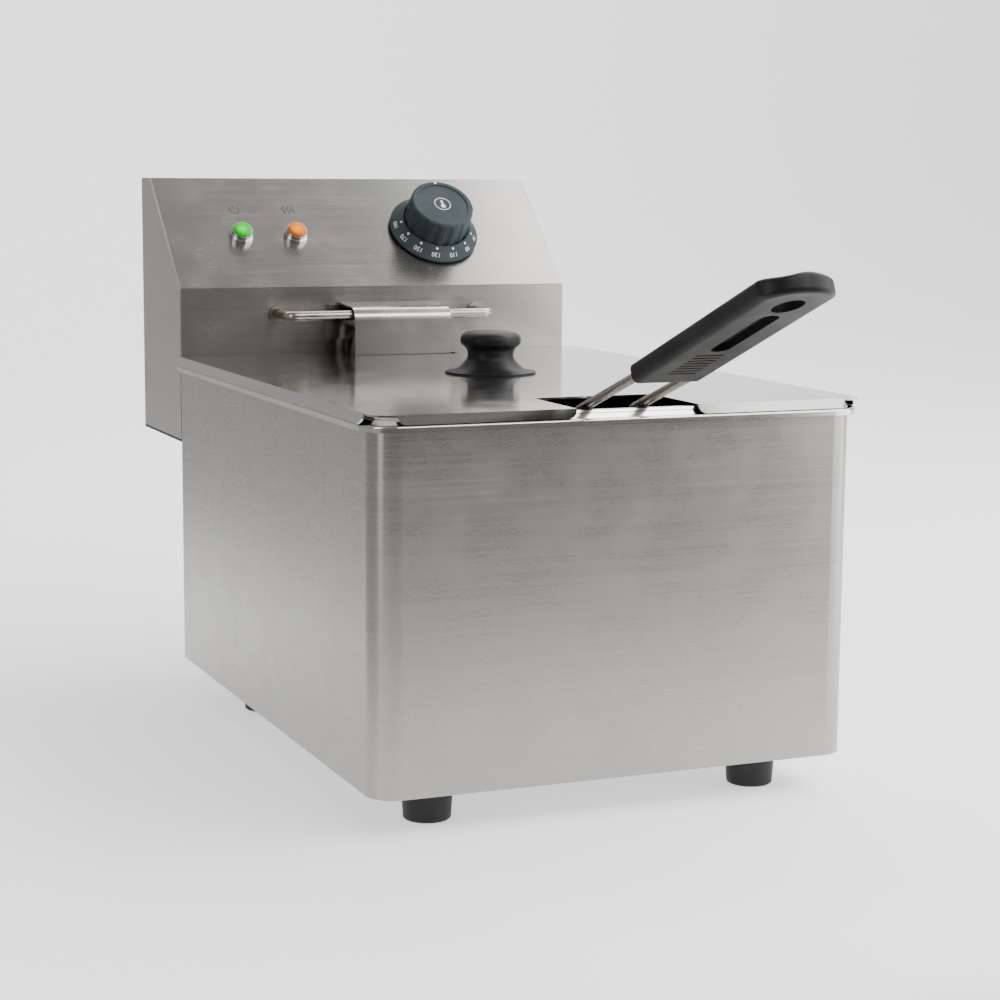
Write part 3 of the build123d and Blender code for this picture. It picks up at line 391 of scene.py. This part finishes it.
for material, nodes in PAINT.items():
    for node in nodes:
        paint_node(node, material)

# Each lamp's deep, glowing and hottest colour, and how strongly it glows.
LAMPS = {
    "green": ((0.0, 0.24, 0.0), (0.0, 0.62, 0.01), (0.06, 0.88, 0.08), 0.6),
    "orange": ((0.36, 0.08, 0.0), (0.85, 0.27, 0.0), (0.95, 0.40, 0.0), 0.45),
}
for colour, (deep, glow, hot, strength) in LAMPS.items():
    node = f"{colour}_lamp_lens"
    lens = lit_lens(f"{colour}_lens", middle(node), PANEL_NORMAL, deep, glow, hot, strength)
    paint_node(node, lens)

# ================================================================ woven basket
basket_low, basket_high = corners("basket_mesh")
MESH_PITCH = 7.0 * MM
MESH_WIRE_R = 0.55 * MM
MESH_CORNER_R = 24.0 * MM
MESH_FLOOR_R = 10.0 * MM
MESH_SIDES = 6
FLOOR_BEND_STEPS = 3
WALL_INSET = Vector((1.0, 1.0, 0.0)) * MM
basket_half = (basket_high - basket_low) / 2 - WALL_INSET


def rounded_outline(half_x, half_y, corner, pitch):
    """Points round a rounded rectangle about the origin, one pitch apart, with their outward normals."""
    straight_x, straight_y = half_x - corner, half_y - corner
    total = 4 * (straight_x + straight_y) + tau * corner
    count = 2 * round(total / pitch / 2)
    points = []
    for index in range(count):
        s = total * index / count
        for quarter in range(4):
            run = 2 * (straight_y if quarter % 2 == 0 else straight_x)
            turn = Matrix.Rotation(quarter * pi / 2, 3, "Z")
            half_across = half_x if quarter % 2 == 0 else half_y
            if s <= run:
                local, normal = Vector((half_across, s - run / 2, 0)), Vector((1, 0, 0))
                points.append((turn @ local, turn @ normal))
                break
            s -= run
            arc = corner * pi / 2
            if s <= arc:
                angle = s / corner
                normal = Vector((cos(angle), sin(angle), 0))
                centre = Vector((half_across - corner, run / 2, 0))
                points.append((turn @ (centre + normal * corner), turn @ normal))
                break
            s -= arc
    return points


def woven_basket():
    """Wire cloth basket: hoops round the wall, uprights up it, and a woven floor."""
    outline = rounded_outline(basket_half.x, basket_half.y, MESH_CORNER_R, MESH_PITCH)
    centre = middle("basket_mesh")
    centre.z = 0.0
    wall_low = basket_low.z + MESH_FLOOR_R
    rows = round((basket_high.z - wall_low) / MESH_PITCH)
    levels = [wall_low + (basket_high.z - wall_low) * row / rows for row in range(rows + 1)]
    hoops = []
    for row, z in enumerate(levels):
        hoop = []
        for column, (point, normal) in enumerate(outline):
            weave = MESH_WIRE_R * (1 if (row + column) % 2 else -1)
            hoop.append(centre + point + normal * weave + Vector((0, 0, z)))
        hoops.append(hoop)
    uprights = []
    for column, (point, normal) in enumerate(outline):
        upright = []
        for step in range(FLOOR_BEND_STEPS):
            angle = pi / 2 * step / FLOOR_BEND_STEPS
            inward = MESH_FLOOR_R * (1 - sin(angle))
            z = basket_low.z + MESH_FLOOR_R * (1 - cos(angle))
            upright.append(centre + point - normal * inward + Vector((0, 0, z)))
        for row, z in enumerate(levels):
            weave = -MESH_WIRE_R * (1 if (row + column) % 2 else -1)
            upright.append(centre + point + normal * weave + Vector((0, 0, z)))
        uprights.append(upright)
    half_x, half_y = basket_half.x - MESH_FLOOR_R, basket_half.y - MESH_FLOOR_R
    corner = MESH_CORNER_R - MESH_FLOOR_R
    floor = []

    def reach(across, limit_across, limit_along):
        """Half the length of a floor wire, shorter where the outline's corner is rounded."""
        over = max(0.0, abs(across) - (limit_across - corner))
        return limit_along - corner + (corner * corner - over * over) ** 0.5

    for axis, limit_across, limit_along in ((0, half_x, half_y), (1, half_y, half_x)):
        count = int(2 * limit_across / MESH_PITCH)
        for index in range(count):
            across = (index - (count - 1) / 2) * MESH_PITCH
            length = reach(across, limit_across, limit_along)
            steps = max(4, round(2 * length / MESH_PITCH))
            line = []
            for step in range(steps + 1):
                along = -length + 2 * length * step / steps
                weave = MESH_WIRE_R * (1 if (index + step + axis) % 2 else -1)
                x, y = (across, along) if axis == 0 else (along, across)
                line.append(centre + Vector((x, y, basket_low.z + MESH_WIRE_R + weave)))
            floor.append(line)
    for name, paths, closed in (
        ("basket_wall_hoops", hoops, True),
        ("basket_wall_uprights", uprights, False),
        ("basket_floor_cloth", floor, False),
    ):
        piece = wires(name, paths, MESH_WIRE_R, wire_steel, "basket", MESH_SIDES, closed)
        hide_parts("basket_mesh")


woven_basket()


# ================================================================ dial and panel printing
INK = 0.05 * MM
TEXT_DEPTH = 0.04 * MM


def printed(name, data, matrix, body, material):
    """Put a thin printed shape in its place as a piece."""
    data.transform(matrix)
    piece = piece_from(name, data, material, body, smooth=False)


def printed_text(name, text, size, matrix, body, material, slot_name):
    """Printed characters turned into a mesh."""
    curve = bpy.data.curves.new(name, "FONT")
    curve.body = text
    curve.size = size
    curve.align_x = "CENTER"
    curve.align_y = "CENTER"
    curve.extrude = TEXT_DEPTH
    text_object = bpy.data.objects.new(name + "_curve", curve)
    bpy.context.scene.collection.objects.link(text_object)
    bpy.context.view_layer.update()
    evaluated = text_object.evaluated_get(bpy.context.evaluated_depsgraph_get())
    data = bpy.data.meshes.new_from_object(evaluated)
    bpy.data.objects.remove(text_object)
    data.materials.clear()
    printed(name, data, matrix, body, material)


def plate(name, outline, matrix, body, material, slot_name):
    """Printed shape from a closed outline."""
    mesh = bmesh.new()
    lower = [mesh.verts.new(Vector((x, y, -INK))) for x, y in outline]
    upper = [mesh.verts.new(Vector((x, y, INK))) for x, y in outline]
    mesh.faces.new(upper)
    mesh.faces.new(list(reversed(lower)))
    for index in range(len(outline)):
        nxt = (index + 1) % len(outline)
        mesh.faces.new((lower[index], lower[nxt], upper[nxt], upper[index]))
    printed(name, finished(name, mesh), matrix, body, material)


def circle_points(radius, centre=(0.0, 0.0), count=32):
    return [
        (centre[0] + radius * cos(tau * step / count), centre[1] + radius * sin(tau * step / count))
        for step in range(count)
    ]


RING_COUNT = 64
RING_INK = 0.08 * MM


def ring(name, radius, width, matrix, body, material, slot_name):
    """Printed circle line made of a closed flat band."""
    mesh = bmesh.new()
    rows = []
    for r, z in (
        (radius, -RING_INK),
        (radius + width, -RING_INK),
        (radius + width, RING_INK),
        (radius, RING_INK),
    ):
        rows.append([mesh.verts.new(Vector((x, y, z))) for x, y in circle_points(r, count=RING_COUNT)])
    for near, far in zip(rows, rows[1:] + rows[:1]):
        for step in range(RING_COUNT):
            nxt = (step + 1) % RING_COUNT
            mesh.faces.new((near[step], near[nxt], far[nxt], far[step]))
    printed(name, finished(name, mesh), matrix, body, material)


SKIRT_RIM_R = 29.4 * MM
SKIRT_RIM_H = 3.0 * MM
SKIRT_TOP_R = 22.9 * MM
SKIRT_TOP_H = 9.5 * MM
SKIRT_RISE = (SKIRT_TOP_H - SKIRT_RIM_H) / (SKIRT_RIM_R - SKIRT_TOP_R)
SKIRT_LEAN = atan2(SKIRT_TOP_H - SKIRT_RIM_H, SKIRT_RIM_R - SKIRT_TOP_R)
GRIP_FACE = 25.7 * MM
GRIP_RIM_FACE = 26.3 * MM
NUMERAL_RADIUS = 26.7 * MM
NUMERAL_SIZE = 4.1 * MM
DOT_RADIUS = 23.9 * MM
DOT_R = 0.8 * MM
ICON_RING_R = 5.0 * MM
ICON_RING_WIDTH = 0.5 * MM
ICON_BULB_R = 1.7 * MM
ICON_BULB_AT = (0.0, -1.9 * MM)
ICON_STEM = [(-0.75, -1.0), (0.75, -1.0), (0.75, 2.9), (0.4, 3.5), (-0.4, 3.5), (-0.75, 2.9)]
POINTER_R = 0.9 * MM
POINTER_OUT = 18.6 * MM
# The temperatures on the dial and where each stands, in degrees round the dial.
NUMERALS = {70: -24.6, 90: -50.9, 110: -77.2, 130: -103.5, 150: -129.8, 170: -156.1, 190: 177.6}
DIAL_INK = ("knob", white_ink, "white_plastic")
dial_face = panel_matrix(DIAL_CENTRE, 0.0)


def on_skirt(angle, radius):
    """Place on the sloping skirt of the dial, its Y pointing up the slope towards the grip's axis."""
    height = SKIRT_RIM_H + (SKIRT_RIM_R - radius) * SKIRT_RISE
    turn = Matrix.Rotation(radians(angle), 4, "Z")
    out = Matrix.Translation((radius, 0, height))
    lean = Matrix.Rotation(SKIRT_LEAN, 4, "Y")
    upright = Matrix.Rotation(-pi / 2, 4, "Z")
    return dial_face @ turn @ out @ lean @ upright


for number, angle in NUMERALS.items():
    at_number = on_skirt(angle, NUMERAL_RADIUS)
    printed_text(f"dial_number_{number}", str(number), NUMERAL_SIZE, at_number, *DIAL_INK)
    plate(f"dial_dot_{number}", circle_points(DOT_R), on_skirt(angle, DOT_RADIUS), *DIAL_INK)
grip_face = panel_matrix(DIAL_CENTRE, GRIP_FACE)
ring("dial_icon_ring", ICON_RING_R, ICON_RING_WIDTH, grip_face, *DIAL_INK)
plate("dial_icon_stem", [(x * MM, y * MM) for x, y in ICON_STEM], grip_face, *DIAL_INK)
plate("dial_icon_bulb", circle_points(ICON_BULB_R, ICON_BULB_AT), grip_face, *DIAL_INK)
pointer_at = panel_matrix(DIAL_CENTRE, GRIP_RIM_FACE) @ Matrix.Translation((0, POINTER_OUT, 0))
plate("dial_pointer_dot", circle_points(POINTER_R), pointer_at, *DIAL_INK)

# Generic symbols above the lamps: mains power and heat. Heights up the panel start at its fold.
DIAL_S = 47.5 * MM
LABEL_S = 68.0 * MM
LABEL_STROKE = 1.15 * MM
panel_base = DIAL_CENTRE - PANEL_UP * DIAL_S


def stroke(points, width):
    """Closed outline of a line of constant width through points."""
    left_side, right_side = [], []
    for index, (x, y) in enumerate(points):
        x0, y0 = points[max(index - 1, 0)]
        x1, y1 = points[min(index + 1, len(points) - 1)]
        along = Vector((x1 - x0, y1 - y0, 0)).normalized() * width / 2
        left_side.append((x - along.y, y + along.x))
        right_side.append((x + along.y, y - along.x))
    return left_side + right_side[::-1]


def symbol(name, strokes, at_x):
    """Grey printed symbol on the slanted panel above a lamp."""
    centre = Vector((at_x, panel_base.y, panel_base.z)) + PANEL_UP * LABEL_S
    place = panel_matrix(centre, 0.0)
    for index, points in enumerate(strokes):
        outline = stroke([(x * MM, y * MM) for x, y in points], LABEL_STROKE)
        plate(f"{name}_{index}", outline, place, "head", grey_ink, "black_plastic")


POWER_R = 3.0
POWER_ARC = [(POWER_R * cos(radians(a)), POWER_R * sin(radians(a))) for a in range(128, 413, 12)]
POWER_MARK = [POWER_ARC, [(0.0, 0.6), (0.0, 3.7)]]
HEAT_WAVE = [(0.9 * sin(tau * step / 12), -3.1 + 6.4 * step / 14) for step in range(15)]
HEAT_MARK = [[(x + shift, y) for x, y in HEAT_WAVE] for shift in (-3.0, 0.0, 3.0)]
symbol("power_mark", POWER_MARK, middle("green_lamp_lens").x)
symbol("heat_mark", HEAT_MARK, middle("orange_lamp_lens").x)

# ================================================================ floor, light and camera
FLOOR_SIZE = 6.0
FLOOR_DROP = 0.0002
BACKDROP_Y = 2.2
SWEEP_R = 0.8
SWEEP_STEPS = 12
# The bright paper glows with painted light and fades into a dim floor of painted shade in front of the
# fryer and to its left.
LIT_AREA_END_Y = -0.43
LIT_AREA_FADE_Y = 0.25
LIT_AREA_END_LEFT = -0.30
LIT_AREA_FADE_LEFT = 0.22
LIT_AREA_LEFT_LOW = 0.2
LIT_AREA_LEAN = 0.18
PAPER_GLOW = 0.75
# Colour of the painted shade on the floor outside the lit paper.
PAINTED_SHADE_FLOOR = (0.15, 0.147, 0.143)
floor_mesh = bmesh.new()
profile = [(-FLOOR_SIZE, 0.0), (BACKDROP_Y, 0.0)]
for step in range(1, SWEEP_STEPS + 1):
    angle = pi / 2 * step / SWEEP_STEPS
    profile.append((BACKDROP_Y + SWEEP_R * sin(angle), SWEEP_R * (1 - cos(angle))))
profile.append((BACKDROP_Y + SWEEP_R, FLOOR_SIZE))
columns = []
for x in (-FLOOR_SIZE, FLOOR_SIZE):
    columns.append([floor_mesh.verts.new((x, y, z - FLOOR_DROP)) for y, z in profile])
left, right = columns
for index in range(len(profile) - 1):
    floor_mesh.faces.new((left[index], right[index], right[index + 1], left[index + 1]))
floor_data = bpy.data.meshes.new("floor")
floor_mesh.to_mesh(floor_data)
floor_mesh.free()
floor = bpy.data.objects.new("floor", floor_data)
bpy.context.scene.collection.objects.link(floor)
floor_shader = Shader("floor_paper", Roughness=0.9, Specular_IOR_Level=0.1)
paper = floor_shader.mix(floor_shader.noise(3.0, 2.0), (0.90, 0.90, 0.90), (0.92, 0.92, 0.92))
place = floor_shader.tree.nodes.new("ShaderNodeSeparateXYZ")
floor_shader.tree.links.new(floor_shader.coords, place.inputs[0])
# Mask of the painted light: 1 on the glowing paper, falling off in front of the fryer and to its left.
lit_front_fade = floor_shader.ramp(place.outputs["Y"], LIT_AREA_END_Y - LIT_AREA_FADE_Y, LIT_AREA_END_Y, 0.0, 1.0)
lean = floor_shader.math("MULTIPLY", place.outputs["Y"], LIT_AREA_LEAN)
left_place = floor_shader.math("SUBTRACT", place.outputs["X"], lean)
left_start = LIT_AREA_END_LEFT - LIT_AREA_FADE_LEFT
lit_left_fade = floor_shader.ramp(left_place, left_start, LIT_AREA_END_LEFT, LIT_AREA_LEFT_LOW, 1.0)
painted_light_mask = floor_shader.math("MULTIPLY", lit_front_fade, lit_left_fade)
# Outside the mask the floor is darkened as painted shade; inside it the paper glows as painted light.
floor_tone = floor_shader.mix(painted_light_mask, PAINTED_SHADE_FLOOR, paper)
floor_glow = floor_shader.mix(painted_light_mask, (0.0, 0.0, 0.0), (1.0, 1.0, 1.0))
floor_shader.feed(floor_glow, "Emission Color")
floor_shader.bsdf.inputs["Emission Strength"].default_value = PAPER_GLOW
floor_shader.feed(floor_tone, "Base Color")
floor_data.materials.append(floor_shader.material)
for polygon in floor_data.polygons:
    polygon.use_smooth = True

world = bpy.data.worlds.new("studio")
bpy.context.scene.world = world
world.use_nodes = True
sky = world.node_tree
sky.nodes.clear()
sky_output = sky.nodes.new("ShaderNodeOutputWorld")
sky_light = sky.nodes.new("ShaderNodeBackground")
sky.links.new(sky_light.outputs[0], sky_output.inputs["Surface"])
direction = sky.nodes.new("ShaderNodeTexCoord").outputs["Generated"]
split = sky.nodes.new("ShaderNodeSeparateXYZ")
sky.links.new(direction, split.inputs[0])


def sky_step(value, low, high, out_low, out_high):
    node = sky.nodes.new("ShaderNodeMapRange")
    node.interpolation_type = "SMOOTHSTEP"
    for socket, number in zip(("From Min", "From Max", "To Min", "To Max"), (low, high, out_low, out_high)):
        node.inputs[socket].default_value = number
    sky.links.new(value, node.inputs["Value"])
    return node.outputs["Result"]


def sky_math(operation, first, second):
    node = sky.nodes.new("ShaderNodeMath")
    node.operation = operation
    for index, value in enumerate((first, second)):
        if isinstance(value, bpy.types.NodeSocket):
            sky.links.new(value, node.inputs[index])
        else:
            node.inputs[index].default_value = value
    return node.outputs[0]


# Soft ceiling light that is brighter on the right, and a dim studio in front of the fryer.
SKY_COLOUR = (1.0, 0.99, 0.975, 1.0)
SKY_GAIN = 1.7
SKY_BASE = 0.22
ceiling = sky_step(split.outputs["Z"], 0.25, 0.75, 0.0, 1.0)
right_half = sky_step(split.outputs["X"], 0.33, 0.50, 0.04, 1.0)
rear = sky_step(split.outputs["Y"], -0.1, 0.5, 0.0, 0.5)
rear_side = sky_step(split.outputs["X"], 0.15, 0.5, 0.3, 1.0)
level = sky_math("ADD", sky_math("MULTIPLY", ceiling, right_half), sky_math("MULTIPLY", rear, rear_side))
brightness = sky_math("ADD", sky_math("MULTIPLY", level, SKY_GAIN), SKY_BASE)
sky_light.inputs["Color"].default_value = SKY_COLOUR
sky.links.new(brightness, sky_light.inputs["Strength"])


def softbox(name, location, target, width, height, power):
    light = bpy.data.lights.new(name, "AREA")
    light.shape = "RECTANGLE"
    light.size = width
    light.size_y = height
    light.energy = power
    lamp = bpy.data.objects.new(name, light)
    lamp.location = location
    aim = Vector(target) - Vector(location)
    lamp.rotation_euler = aim.to_track_quat("-Z", "Y").to_euler()
    bpy.context.scene.collection.objects.link(lamp)


softbox("right_panel", (0.92, -0.58, 0.55), (0.0, 0.0, 0.2), 1.2, 1.1, 16)
softbox("left_panel", (-1.2, -0.55, 0.6), (0.0, -0.1, 0.15), 0.45, 1.0, 4)
softbox("overhead_panel", (1.0, 0.3, 1.5), (0.5, 0.2, 0.1), 1.6, 0.8, 20)
softbox("high_front", (0.25, -1.35, 1.55), (0.0, 0.1, 0.2), 1.3, 0.6, 15)
softbox("rear_wash", (-0.4, 1.4, 2.2), (0.0, 2.6, 0.6), 2.4, 0.8, 45)

SENSOR_WIDTH = 36.0
CAMERA_LENS = 81.03
CLIP_END = 50.0
CAMERA_PLACE = Vector((-0.490, -1.1731, 0.3258))
YAW, PITCH, ROLL = radians(22.957), radians(-8.424), radians(-0.449)
forward = Vector((sin(YAW) * cos(PITCH), cos(YAW) * cos(PITCH), sin(PITCH)))
level_right = Vector((cos(YAW), -sin(YAW), 0))
level_up = level_right.cross(forward)
right = level_right * cos(ROLL) - level_up * sin(ROLL)
up = level_up * cos(ROLL) + level_right * sin(ROLL)
camera_data = bpy.data.cameras.new("camera")
camera_data.sensor_width = SENSOR_WIDTH
camera_data.lens = CAMERA_LENS
camera_data.clip_end = CLIP_END
camera = bpy.data.objects.new("camera", camera_data)
basis = Matrix((right, up, -forward)).transposed().to_4x4()
camera.matrix_world = Matrix.Translation(CAMERA_PLACE) @ basis
bpy.context.scene.collection.objects.link(camera)
bpy.context.scene.camera = camera

bpy.context.view_layer.update()
